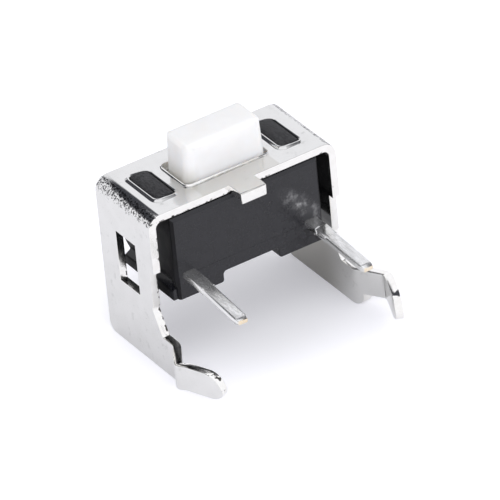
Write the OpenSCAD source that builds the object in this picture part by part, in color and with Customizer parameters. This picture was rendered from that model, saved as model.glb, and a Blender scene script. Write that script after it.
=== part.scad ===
// Side-press tactile push button switch in a folded sheet-metal bracket.
// It stands on the lower edges of the two bracket legs, with the button up.
// +X runs along the body, -Y faces the circuit board, and +Z is up.
// The origin is at the middle of the outer box, on the surface it stands on.

/* [Button] */
// Length of the button cap along the body
button_w = 3; // [2.4:0.1:3.6]
// Depth of the button cap from front to back
button_d = 1.5; // [1.2:0.1:1.8]
// Height of the button cap above the bracket plate
button_h = 1.5; // [0.8:0.1:3]
// Rounding of the four upright corners of the cap
button_corner_r = 0.34; // [0.1:0.02:0.5]
// Rounding along the top edges of the cap
button_top_r = 0.22; // [0.04:0.01:0.3]
// Distance the button goes down before the dome closes the contact
travel = 0.25; // [0.15:0.05:0.35]
// Play left between the flange and the plate above it
flange_play = 0.02; // [0.01:0.01:0.05]
// Thickness of the flange that keeps the button in the housing
flange_t = 0.5; // [0.35:0.05:0.7]
// Amount the flange reaches under the plate at each end
flange_lap_x = 0.18; // [0.1:0.02:0.3]
// Amount the flange reaches under the plate at front and back
flange_lap_y = 0.36; // [0.2:0.01:0.5]
// Diameter of the stem that presses the dome
stem_dia = 0.9; // [0.6:0.1:1.2]
// Diameter of the thick part of the stem under the flange
boss_dia = 1.6; // [1.3:0.1:1.9]
// Height of the thick part of the stem
boss_h = 0.7; // [0.3:0.1:0.9]
// Gap between the stem and the top of the dome
stem_gap = 0.02; // [0.01:0.01:0.04]
// Amount the cap sits forward of the middle of its window
button_forward = 0.07; // [0:0.01:0.09]

/* [Housing] */
// Height of the moulded housing without its stakes
body_h = 3.39; // [3:0.1:4.2]
// Wall between the button cavity and the front face
front_wall = 0.52; // [0.4:0.02:0.8]
// Wall between the button cavity and the rear face
rear_wall = 0.28; // [0.2:0.02:0.5]
// Gap between the flange and the cavity wall
cavity_gap = 0.1; // [0.08:0.01:0.15]
// Rounding of the cavity's upright corners
cavity_r = 0.2; // [0.1:0.05:0.4]
// Wall between the cavity and each stake
stake_wall = 0.2; // [0.12:0.01:0.3]
// Width of the stakes
stake_w = 0.78; // [0.6:0.02:1.1]
// Length of the stakes from front to back
stake_l = 1.94; // [1.6:0.02:2.6]
// Distance the stakes sit behind the middle of the cavity
stake_back = 0.06; // [0:0.01:0.1]
// Rounding of the stakes' front corners
stake_front_r = 0.14; // [0.04:0.01:0.25]
// Rounding of the stakes' rear corners
stake_rear_r = 0.28; // [0.05:0.01:0.29]
// Height of the stakes above the plate
stake_h = 0.06; // [0.05:0.01:0.2]
// Gap between a stake and the edge of its window
stake_gap = 0.02; // [0.01:0.01:0.05]
// Housing left outside each stake
stake_margin = 0.095; // [0.05:0.005:0.2]
// Height of the contact floor above the bottom of the housing
contact_h = 1.07; // [0.9:0.01:1.3]
// Chamfer down the upright corners of the housing
corner_chamfer = 0.13; // [0.05:0.01:0.2]
// Chamfer along the top edge of the front face
brow_chamfer = 0.13; // [0.04:0.01:0.2]
// Step in the front face along the parting line of the mould
parting_step = 0.02; // [0.01:0.01:0.04]
// Half the width of the relief between the two feet
relief_half = 1.16; // [0.8:0.02:1.4]
// Height of the relief between the two feet
relief_h = 0.43; // [0.2:0.01:0.6]
// Rounding in the top corners of the relief
relief_r = 0.14; // [0.05:0.01:0.2]
// Amount each foot draws in at its outer bottom edge
foot_draft = 0.05; // [0.02:0.01:0.2]
// Height of the drawn-in part of each foot
foot_draft_h = 0.8; // [0.4:0.05:0.9]
// Depth of the hollow low in each end of the housing
hollow_depth = 0.22; // [0.1:0.01:0.3]
// Height of the hollow's upper edge
hollow_top = 1; // [0.8:0.02:1.2]
// Height at which the hollow is at its full depth
hollow_low = 0.42; // [0.2:0.02:0.7]
// Width of the rib left in front of each hollow
hollow_rib = 0.42; // [0.3:0.01:0.7]
// Amount the wedge under each hollow stands out from the end
wedge_out = 0.13; // [0.04:0.01:0.2]
// Height of the wedge's upright face
wedge_h = 0.38; // [0.2:0.01:0.5]
// Height of the wedge's sloped top
wedge_slope_h = 0.22; // [0.1:0.01:0.3]
// Distance from the wedge to the rear of the housing
wedge_back = 0.22; // [0.1:0.01:0.5]

/* [Bracket] */
// Thickness of the sheet metal
sheet_t = 0.3; // [0.2:0.05:0.4]
// Gap between each end of the housing and the leg beside it
leg_gap = 0.525; // [0.3:0.025:0.8]
// Inner radius of the two folds between the plate and the legs
fold_r = 0.22; // [0.1:0.02:0.4]
// Distance the plate's front edge lies behind the housing face
front_setback = 0.12; // [0:0.02:0.3]
// Distance the plate's rear edge reaches behind the housing
rear_overhang = 0.12; // [0:0.02:0.4]
// Clear height under the housing
leg_drop = 2.61; // [2:0.1:4]
// Gap between the cap and the window at each end
window_gap_x = 0.22; // [0.1:0.02:0.4]
// Gap between the cap and the window at front and back
window_gap_y = 0.14; // [0.12:0.01:0.2]
// Rounding of the button window's corners
window_r = 0.2; // [0.05:0.01:0.3]
// Width of the tie-bar tab at the middle of the front edge
tab_w = 1.04; // [0.6:0.02:1.6]
// Length of the tie-bar tab
tab_l = 0.78; // [0.3:0.02:1]
// Rounding of the tab's corners
tab_r = 0.06; // [0.02:0.01:0.2]
// Roll-over along the tab's upper front edge
tab_roll = 0.07; // [0.04:0.01:0.16]
// Width of the window in each leg
side_window_w = 1.27; // [0.8:0.01:1.8]
// Height of the window in each leg
side_window_h = 2.06; // [1.4:0.02:2.4]
// Amount the leg's front edge steps back below the shoulder
step_in = 0.26; // [0.1:0.02:0.5]
// Depth of the shoulder below the top of the plate
step_drop = 2.3; // [1.8:0.05:2.8]
// Depth of the nick at the top of the sloped edge
nick_depth = 0.07; // [0.02:0.01:0.12]
// Height of the sloped edge above each snap foot
slope_h = 1.02; // [0.6:0.02:1.2]
// Amount the sloped edge ends in front of the plate's front edge
slope_out = 0.12; // [0.04:0.02:0.3]
// Rounding of the legs' lower rear corners
heel_r = 0.36; // [0.2:0.02:0.8]

/* [Snap feet] */
// Height of the snap feet above the legs' lower edges
snap_lift = 0.48; // [0.3:0.02:0.8]
// Height of the strip that forms each snap foot
snap_h = 1; // [0.7:0.05:1.3]
// Distance from the plate's front edge to the first bend
snap_start = 0.85; // [0.7:0.05:1.4]
// Outward angle of the first bend
splay_angle = 31; // [15:1:40]
// Length of the strip that leans outward
splay_len = 1.24; // [1:0.02:1.6]
// Inward angle of the strip after the second bend
return_angle = 22; // [10:1:30]
// Length of the strip that leans inward
return_len = 1.95; // [1.4:0.05:2.6]
// Inner radius of the first bend
splay_bend_r = 0.4; // [0.2:0.02:0.6]
// Inner radius of the second bend
return_bend_r = 0.2; // [0.12:0.02:0.4]
// Amount the end of each snap foot lies higher than its root
snap_rise = 0.1; // [0.02:0.02:0.2]
// Rounding of the upper corner at the end of each snap foot
snap_upper_r = 0.42; // [0.1:0.01:0.45]
// Rounding of the lower corner at the end of each snap foot
snap_lower_r = 0.5; // [0.1:0.01:0.52]
// Rounding of the lobe in front of each leg
lobe_r = 0.34; // [0.1:0.02:0.5]
// Distance the lobe reaches past the first bend
lobe_reach = 0.35; // [0.1:0.02:0.45]

/* [Terminals] */
// Width of the terminal pins
pin_w = 0.5; // [0.4:0.02:0.6]
// Thickness of the terminal strip
pin_t = 0.25; // [0.15:0.01:0.3]
// Length of the pins from the housing face
pin_len = 3.3; // [2.4:0.1:4.5]
// Length of the level part of each pin outside the housing
pin_level = 0.6; // [0.3:0.05:1]
// Length of the plain part of each pin after the kink
pin_plain = 0.6; // [0.2:0.05:0.9]
// Downward lean of the left pin
left_lean = 6; // [0:0.5:14]
// Downward lean of the right pin
right_lean = 7.5; // [0:0.5:14]
// Sideways lean of the left pin, away from the middle
left_swing = 0; // [-3:0.5:5]
// Sideways lean of the right pin, away from the middle
right_swing = 3; // [-3:0.5:5]
// Housing left between each pin and the hollow in the end
pin_wall = 0.06; // [0.03:0.01:0.2]
// Chamfer along the pin's edges
pin_chamfer = 0.05; // [0.02:0.01:0.06]
// Length of the taper at the pin's tip
tip_taper = 0.24; // [0.1:0.02:0.4]
// Amount the tip narrows on each side
tip_narrow = 0.07; // [0.02:0.01:0.12]
// Radius of the fixed contact under the dome
contact_r = 0.4; // [0.25:0.05:0.6]
// Width of the strips that lead to the contacts
lead_w = 0.5; // [0.3:0.05:0.6]
// Depth of the left lead below the contact floor
lead_drop = 0.12; // [0.06:0.01:0.14]

/* [Dome] */
// Thickness of the snap dome
dome_t = 0.06; // [0.04:0.01:0.08]
// Gap between the dome and the cavity wall
dome_gap = 0.2; // [0.1:0.02:0.4]

/* [Hidden] */
$fn = 48;
EPS = 0.01;

// Plan sizes, worked outward from the button cap.
window_w = button_w + 2 * window_gap_x;
window_d = button_d + 2 * window_gap_y;
flange_w = window_w + 2 * flange_lap_x;
flange_d = window_d + 2 * flange_lap_y;
cavity_w = flange_w + 2 * cavity_gap;
cavity_d = flange_d + 2 * cavity_gap;
stake_x = cavity_w / 2 + stake_wall + stake_w / 2;
body_w = 2 * (stake_x + stake_w / 2 + stake_margin);
body_front = -(cavity_d / 2 + front_wall);
body_rear = cavity_d / 2 + rear_wall;
face_y = body_front - parting_step;
plate_front = body_front + front_setback;
plate_rear = body_rear + rear_overhang;
bracket_w = body_w + 2 * (leg_gap + sheet_t);

// Levels above the surface the part stands on.
body_z = leg_drop;
plate_z = body_z + body_h;
top_z = plate_z + sheet_t;
contact_z = body_z + contact_h;
dome_top_z = contact_z + travel + dome_t;
flange_z = plate_z - flange_play - flange_t;
draft_z = body_z + foot_draft_h;
step_z = top_z - step_drop;
snap_z = snap_lift;
snap_top_z = snap_z + snap_h;
slope_z = snap_top_z + slope_h;

// Folds and bends of the bracket.
fold_outer_r = fold_r + sheet_t;
splay_mid_r = splay_bend_r + sheet_t / 2;
return_mid_r = return_bend_r + sheet_t / 2;
turn_angle = splay_angle + return_angle;
splay_setback = splay_mid_r * tan(splay_angle / 2);
turn_setback = return_mid_r * tan(turn_angle / 2);
bend_y = plate_front - snap_start;
step_y = plate_front + step_in;
leg_flat = plate_rear - bend_y - splay_setback;
splay_flat = splay_len - splay_setback - turn_setback;
return_flat = return_len - turn_setback;
strip_end_y = bend_y - splay_len * cos(splay_angle) - return_len * cos(return_angle);
foot_front = strip_end_y - sheet_t / 2 * sin(return_angle);

// Terminals.
pin_x = body_w / 2 - hollow_depth - pin_wall - pin_w / 2;
pin_z = contact_z - pin_t / 2;
lead_z = contact_z - lead_drop - pin_t;
blade_len = pin_len - pin_level;
dome_r = cavity_d / 2 - dome_gap;
seat_w = dome_r - contact_r - 2 * lead_drop;

// Shift that puts the origin at the middle of the outer box.
frame_y = -(foot_front + plate_rear) / 2;

// Corners of a rectangle with all four corners cut off.
function chamfered(w, d, c) = [
    [c - w / 2, -d / 2],
    [w / 2 - c, -d / 2],
    [w / 2, c - d / 2],
    [w / 2, d / 2 - c],
    [w / 2 - c, d / 2],
    [c - w / 2, d / 2],
    [-w / 2, d / 2 - c],
    [-w / 2, c - d / 2]
];

// Rectangle with one radius at its two front corners and one at its rear.
module rounded_rect(w, d, front_r, rear_r) {
    translate([-w / 2, front_r - d / 2])
        square([w, d - front_r - rear_r]);
    translate([front_r - w / 2, -d / 2])
        square([w - 2 * front_r, d - rear_r]);
    translate([rear_r - w / 2, front_r - d / 2])
        square([w - 2 * rear_r, d - front_r]);
    for (sx = [-1, 1]) {
        translate([sx * (w / 2 - front_r), front_r - d / 2])
            circle(front_r);
        translate([sx * (w / 2 - rear_r), d / 2 - rear_r])
            circle(rear_r);
    }
}

// Rectangle that stands on the X axis with its two top corners rounded.
module arched_rect(w, h, r) {
    translate([-w / 2, 0])
        square([w, h - r]);
    translate([r - w / 2, 0])
        square([w - 2 * r, h]);
    for (sx = [-1, 1])
        translate([sx * (w / 2 - r), h - r])
            circle(r);
}

// Extrudes an outline drawn in X and Z along Y, from y0 to y1.
module along_y(y0, y1) {
    translate([0, y1, 0])
        rotate([90, 0, 0])
            linear_extrude(y1 - y0)
                children();
}

// Extrudes an outline drawn in Y and Z along X, from x0 to x1.
module along_x(x0, x1) {
    translate([x0, 0, 0])
        rotate([90, 0, 90])
            linear_extrude(x1 - x0)
                children();
}

// Draws its children on the +X side and mirrored on the -X side.
module both_ends() {
    children();
    mirror([1, 0, 0])
        children();
}

// Block rounded on its upright corners and along its top edges.
module soft_block(w, d, h, corner_r, top_r) {
    intersection() {
        linear_extrude(h)
            rounded_rect(w, d, corner_r, corner_r);
        along_y(-d / 2, d / 2)
            arched_rect(w, h, top_r);
        along_x(-w / 2, w / 2)
            arched_rect(d, h, top_r);
    }
}

// Button: cap, flange held under the plate, and the stem over the dome.
module button_solid() {
    cap_z = flange_z + flange_t / 2;
    translate([0, -button_forward, cap_z])
        soft_block(button_w, button_d, top_z + button_h - cap_z, button_corner_r, button_top_r);
    translate([0, 0, flange_z])
        linear_extrude(flange_t)
            rounded_rect(flange_w, flange_d, cavity_r, cavity_r);
    translate([0, 0, flange_z - boss_h])
        cylinder(h = boss_h + flange_t / 2, d = boss_dia);
    translate([0, 0, dome_top_z + stem_gap])
        cylinder(h = flange_z - dome_top_z - stem_gap, d = stem_dia);
}

// Moves its children past a bend of the strip, whose middle line has the
// radius r. A positive angle turns toward +Y and a negative one toward -Y.
module past_bend(angle, r) {
    side = sign(angle);
    translate([0, side * r, 0])
        rotate(angle)
            translate([0, -side * r, 0])
                children();
}

// Arc of the strip in that bend.
module bend_arc(angle, r) {
    side = sign(angle);
    reach = 2 * (r + sheet_t);
    translate([0, side * r])
        intersection() {
            difference() {
                circle(r + sheet_t / 2);
                circle(r - sheet_t / 2);
            }
            polygon([
                [0, 0],
                [0, -side * reach],
                [reach * tan(abs(angle) / 2), -side * reach],
                [reach * sin(abs(angle)), -side * reach * cos(angle)]
            ]);
        }
}

// One leg's strip seen from above. It runs along +X from the rear edge
// through both bends to the end of the snap foot, and leans out toward +Y.
module leg_strip() {
    translate([-leg_flat, -sheet_t / 2])
        square([leg_flat + EPS, sheet_t]);
    bend_arc(splay_angle, splay_mid_r);
    past_bend(splay_angle, splay_mid_r) {
        translate([-EPS, -sheet_t / 2])
            square([splay_flat + 2 * EPS, sheet_t]);
        translate([splay_flat, 0]) {
            bend_arc(-turn_angle, return_mid_r);
            past_bend(-turn_angle, return_mid_r)
                translate([-EPS, -sheet_t / 2])
                    square([return_flat + EPS, sheet_t]);
        }
    }
}

// What is cut away to round the end of the snap foot, square to the sheet.
module tip_trim() {
    end_z = snap_z + snap_rise;
    past_bend(splay_angle, splay_mid_r)
        translate([splay_flat, 0, 0])
            past_bend(-turn_angle, return_mid_r)
                translate([return_flat, 0, 0])
                    along_y(-sheet_t, sheet_t)
                        difference() {
                            translate([-snap_lower_r, end_z - snap_rise])
                                square([2 * snap_lower_r, snap_h + 2 * snap_rise]);
                            translate([-2 * snap_lower_r, end_z + snap_lower_r])
                                square([2 * snap_lower_r, snap_h - snap_upper_r - snap_lower_r]);
                            translate([-2 * snap_lower_r, end_z + snap_lower_r])
                                square([2 * snap_lower_r - snap_upper_r, snap_h - snap_lower_r]);
                            translate([-snap_lower_r, end_z + snap_lower_r])
                                circle(snap_lower_r);
                            translate([-snap_upper_r, end_z + snap_h - snap_upper_r])
                                circle(snap_upper_r);
                        }
}

// Outline of one leg seen from the side, drawn in Y and Z.
module leg_outline() {
    nick_y = step_y + nick_depth;
    toe_y = plate_front - slope_out;
    lobe_y = bend_y - lobe_reach + lobe_r;
    turn_y = bend_y - splay_len * cos(splay_angle);
    rise_run = 4 * snap_rise;
    translate([plate_front, step_z])
        square([plate_rear - plate_front, plate_z - step_z]);
    translate([step_y, slope_z])
        square([plate_rear - step_y, step_z - slope_z + EPS]);
    translate([nick_y, heel_r])
        square([plate_rear - nick_y, slope_z - heel_r + EPS]);
    translate([nick_y, 0])
        square([plate_rear - nick_y - heel_r, 2 * heel_r]);
    translate([plate_rear - heel_r, heel_r])
        circle(heel_r);
    polygon([
        [nick_y + EPS, slope_z - 2 * nick_depth],
        [nick_y, slope_z - 2 * nick_depth],
        [toe_y, snap_top_z + nick_depth],
        [toe_y - nick_depth, snap_top_z],
        [toe_y - nick_depth, 0],
        [nick_y + EPS, 0]
    ]);
    translate([lobe_y, 0])
        square([nick_y - lobe_y, snap_top_z]);
    translate([lobe_y - lobe_r, lobe_r])
        square([2 * lobe_r, snap_top_z - lobe_r]);
    translate([lobe_y, lobe_r])
        circle(lobe_r);
    polygon([
        [nick_y, snap_z],
        [turn_y, snap_z],
        [turn_y - rise_run, snap_z + snap_rise],
        [foot_front - sheet_t, snap_z + snap_rise],
        [foot_front - sheet_t, snap_top_z + snap_rise],
        [turn_y - rise_run, snap_top_z + snap_rise],
        [turn_y, snap_top_z],
        [nick_y, snap_top_z]
    ]);
}

// Leg on the +X side, with its window and snap foot.
module leg() {
    difference() {
        intersection() {
            translate([bracket_w / 2 - sheet_t / 2, bend_y + splay_setback, 0])
                rotate(-90)
                    difference() {
                        linear_extrude(top_z - fold_outer_r)
                            leg_strip();
                        tip_trim();
                    }
            along_x(0, bracket_w)
                leg_outline();
        }
        translate([bracket_w / 2 - 2 * sheet_t, -side_window_w / 2, body_z])
            cube([3 * sheet_t, side_window_w, side_window_h]);
    }
}

// Outline of a stake, grown by the gap given.
module stake_outline(gap) {
    rounded_rect(stake_w + 2 * gap, stake_l + 2 * gap,
                 stake_front_r + gap, stake_rear_r + gap);
}

// Plate with its two folds, the button window and the stake windows.
module plate() {
    difference() {
        along_y(plate_front, plate_rear)
            difference() {
                arched_rect(bracket_w, top_z, fold_outer_r);
                arched_rect(bracket_w - 2 * sheet_t, plate_z, fold_r);
                translate([-bracket_w, -EPS])
                    square([2 * bracket_w, top_z - fold_outer_r + EPS]);
            }
        linear_extrude(2 * top_z)
            rounded_rect(window_w, window_d, window_r, window_r);
        both_ends()
            translate([stake_x, stake_back, 0])
                linear_extrude(2 * top_z)
                    stake_outline(stake_gap);
    }
}

// Bracket: plate, two legs with snap feet, and the tie-bar tab.
module bracket_solid() {
    plate();
    both_ends()
        leg();
    intersection() {
        translate([0, plate_front, plate_z])
            linear_extrude(sheet_t)
                rounded_rect(tab_w, 2 * tab_l, tab_r, tab_r);
        along_x(-tab_w, tab_w)
            translate([plate_front, plate_z])
                arched_rect(2 * tab_l, sheet_t, tab_roll);
    }
}

// Housing without the cavity and the room for the terminals.
module housing_block() {
    intersection() {
        translate([0, (face_y + body_rear) / 2, body_z])
            linear_extrude(body_h)
                polygon(chamfered(body_w, body_rear - face_y, corner_chamfer));
        along_y(face_y, body_rear)
            difference() {
                polygon([
                    [-body_w / 2, plate_z],
                    [-body_w / 2, draft_z],
                    [foot_draft - body_w / 2, body_z],
                    [body_w / 2 - foot_draft, body_z],
                    [body_w / 2, draft_z],
                    [body_w / 2, plate_z]
                ]);
                translate([0, body_z - relief_h])
                    arched_rect(2 * relief_half, 2 * relief_h, relief_r);
            }
        along_x(-body_w / 2, body_w / 2)
            polygon([
                [face_y, body_z],
                [body_rear, body_z],
                [body_rear, plate_z],
                [body_front + brow_chamfer, plate_z],
                [body_front, plate_z - brow_chamfer],
                [body_front, pin_z],
                [face_y, pin_z]
            ]);
    }
}

// Hollow low in the +X end of the housing, open to the rear and below. It
// draws in downward, to the wedge at its foot.
module end_hollow() {
    floor_x = body_w / 2 - hollow_depth;
    along_y(body_front + hollow_rib, body_rear + hollow_rib)
        polygon([
            [body_w / 2, body_z + hollow_top],
            [floor_x, body_z + hollow_low],
            [floor_x, body_z - hollow_low],
            [body_w, body_z - hollow_low],
            [body_w, body_z + hollow_top]
        ]);
}

// Wedge at the foot of that hollow, with a sloped top.
module end_wedge() {
    root_x = body_w / 2 - hollow_depth;
    face_x = body_w / 2 + wedge_out;
    along_y(body_front + hollow_rib, body_rear - wedge_back)
        polygon([
            [root_x - EPS, body_z],
            [face_x, body_z],
            [face_x, body_z + wedge_h],
            [root_x, body_z + wedge_h + wedge_slope_h],
            [root_x - EPS, body_z + wedge_h + wedge_slope_h]
        ]);
}

// Stake on the +X side: post through the plate with a crowned top, rooted
// as deep in the housing as the sheet is thick.
module stake() {
    crown_r = 2.5 * stake_w;
    intersection() {
        translate([stake_x, stake_back, plate_z - sheet_t])
            linear_extrude(2 * sheet_t + stake_h)
                stake_outline(0);
        translate([stake_x, stake_l, top_z + stake_h - crown_r])
            rotate([90, 0, 0])
                cylinder(h = 2 * stake_l, r = crown_r, $fn = 180);
    }
}

module housing_solid() {
    difference() {
        housing_block();
        translate([0, 0, contact_z])
            linear_extrude(body_h)
                rounded_rect(cavity_w, cavity_d, cavity_r, cavity_r);
        both_ends()
            end_hollow();
        left_inner();
        right_inner();
    }
    both_ends() {
        end_wedge();
        stake();
    }
}

// Straight blade along -Y, first plain and then with chamfered edges.
module blade() {
    plain = min(pin_plain, blade_len - tip_taper);
    along_y(-plain, 0)
        square([pin_w, pin_t], center = true);
    intersection() {
        along_y(-blade_len, EPS - plain)
            polygon(chamfered(pin_w, pin_t, pin_chamfer));
        translate([0, 0, -pin_t])
            linear_extrude(2 * pin_t)
                polygon([
                    [-pin_w / 2, 0],
                    [-pin_w / 2, tip_taper - blade_len],
                    [tip_narrow - pin_w / 2, -blade_len],
                    [pin_w / 2 - tip_narrow, -blade_len],
                    [pin_w / 2, tip_taper - blade_len],
                    [pin_w / 2, 0]
                ]);
        along_x(-pin_w, pin_w)
            polygon([
                [0, -pin_t / 2],
                [tip_taper - blade_len, -pin_t / 2],
                [-blade_len, pin_chamfer - pin_t / 2],
                [-blade_len, pin_t / 2 - pin_chamfer],
                [tip_taper - blade_len, pin_t / 2],
                [0, pin_t / 2]
            ]);
    }
}

// Part of the +X pin that shows: level, then leaning down and outward.
module pin_outer(lean, swing) {
    translate([pin_x, face_y - pin_level, pin_z]) {
        rotate([lean, 0, swing])
            blade();
        translate([-pin_w / 2, 0, 0])
            rotate([0, 90, 0])
                cylinder(h = pin_w, d = pin_t);
        translate([-pin_w / 2, 0, -pin_t / 2])
            cube([pin_w, pin_level + EPS, pin_t]);
    }
}

// Part of the +X pin inside the housing.
module pin_inner() {
    translate([pin_x - pin_w / 2, face_y, contact_z - pin_t])
        cube([pin_w, lead_w / 2 - face_y, pin_t]);
}

// Left terminal in the housing: a lead under the floor and the contact.
module left_inner() {
    mirror([1, 0, 0])
        pin_inner();
    translate([-pin_x - pin_w / 2, -lead_w / 2, lead_z])
        cube([pin_x + pin_w / 2, lead_w, pin_t]);
    translate([0, 0, lead_z])
        cylinder(h = contact_z - lead_z, r = contact_r);
}

// Right terminal in the housing: a level strip and the seat of the dome.
module right_inner() {
    seat_x = dome_r - seat_w;
    pin_inner();
    translate([seat_x, -lead_w / 2, contact_z - pin_t])
        cube([pin_x - seat_x, lead_w, pin_t]);
    translate([seat_x, -dome_r / 2, contact_z - pin_t])
        cube([seat_w, dome_r, pin_t]);
}

// Snap dome: a thin cap of a sphere that stands on the contact floor.
module dome_solid() {
    inner_r = (dome_r * dome_r + travel * travel) / (2 * travel);
    translate([0, 0, contact_z])
        rotate_extrude()
            intersection() {
                translate([0, travel - inner_r])
                    difference() {
                        circle(inner_r + dome_t, $fn = 360);
                        circle(inner_r, $fn = 360);
                    }
                square([dome_r, travel + 2 * dome_t]);
            }
}

module bracket() {
    color([0.87, 0.87, 0.85])
        translate([0, frame_y, 0])
            bracket_solid();
}

module housing() {
    color([0.17, 0.17, 0.19])
        translate([0, frame_y, 0])
            housing_solid();
}

module button() {
    color([0.95, 0.95, 0.95])
        translate([0, frame_y, 0])
            button_solid();
}

module contact_dome() {
    color([0.75, 0.75, 0.74])
        translate([0, frame_y, 0])
            dome_solid();
}

module terminal_left() {
    color([0.72, 0.71, 0.68])
        translate([0, frame_y, 0]) {
            left_inner();
            mirror([1, 0, 0])
                pin_outer(left_lean, left_swing);
        }
}

module terminal_right() {
    color([0.72, 0.71, 0.68])
        translate([0, frame_y, 0]) {
            right_inner();
            pin_outer(right_lean, right_swing);
        }
}

bracket();
housing();
button();
contact_dome();
terminal_left();
terminal_right();
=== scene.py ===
"""Looks of a side-press tactile push button switch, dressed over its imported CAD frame.

Each CAD node is copied, merged and worked in millimetres: sheared edges are broken, punched
windows get their lips and moulded edges their radius. The copy keeps the node's place and
size, takes its finishes face by face, and then stands for the node. Lengths are in
millimetres, apart from those of the studio and the camera.
"""

import logging
import math
from collections.abc import Callable, Iterable
from dataclasses import dataclass
from enum import Enum

import bmesh
import bpy
from mathutils import Matrix, Vector


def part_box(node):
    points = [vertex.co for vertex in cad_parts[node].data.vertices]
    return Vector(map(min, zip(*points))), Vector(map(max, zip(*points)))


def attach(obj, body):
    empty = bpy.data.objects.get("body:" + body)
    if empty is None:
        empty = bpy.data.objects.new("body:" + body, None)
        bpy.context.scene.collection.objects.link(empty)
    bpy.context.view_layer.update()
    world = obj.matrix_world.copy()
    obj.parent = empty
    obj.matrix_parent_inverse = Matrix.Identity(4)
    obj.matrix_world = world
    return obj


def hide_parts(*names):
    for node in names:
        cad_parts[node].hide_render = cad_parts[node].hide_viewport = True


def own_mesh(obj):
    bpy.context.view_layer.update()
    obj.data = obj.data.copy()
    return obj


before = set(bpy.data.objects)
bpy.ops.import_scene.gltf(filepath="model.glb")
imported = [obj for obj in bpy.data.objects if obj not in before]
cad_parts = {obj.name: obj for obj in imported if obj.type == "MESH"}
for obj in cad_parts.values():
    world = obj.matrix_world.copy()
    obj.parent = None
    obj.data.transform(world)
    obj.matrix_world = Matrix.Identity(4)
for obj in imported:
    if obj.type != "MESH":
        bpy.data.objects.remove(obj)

LOG = logging.getLogger("switch")
MM = 0.001
# Slack of a test of place, and how near two places lie that count as one, in millimetres.
HAIR = 0.01
TOUCH = 0.001

Rgb = tuple[float, float, float]
Xyz = tuple[float, float, float]
Span = tuple[float, float]
Socket = bpy.types.NodeSocket
Sockets = bpy.types.bpy_prop_collection
Number = Socket | float
Colour = Socket | Rgb
EdgeTest = Callable[[Vector], bool]
FaceTest = Callable[[Vector, Vector], bool]


class Body(Enum):
    """The two bodies that pieces ride on."""

    FRAME = "frame"
    BUTTON = "button"


class Side(Enum):
    """The two ends of the switch, each with its terminal."""

    LEFT = "left"
    RIGHT = "right"


class Slot(Enum):
    """The record's material slots."""

    STEEL = "plated_steel"
    BLACK = "black_moulding"
    WHITE = "white_moulding"
    SPRING = "spring_steel"
    BRASS = "plated_brass"


def node_box(node: str) -> tuple[Vector, Vector]:
    """Lowest and highest corner of a CAD node.

    Args:
        node: Name of the CAD node.

    Returns:
        The two corners in millimetres.
    """
    low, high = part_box(node)
    return low / MM, high / MM


def put_in_scene(name: str, data: bpy.types.ID) -> bpy.types.Object:
    """Makes an object and links it to the scene.

    Args:
        name: The object's name.
        data: Its mesh, lamp or camera.

    Returns:
        The object.
    """
    item = bpy.data.objects.new(name, data)
    bpy.context.scene.collection.objects.link(item)
    return item


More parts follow.
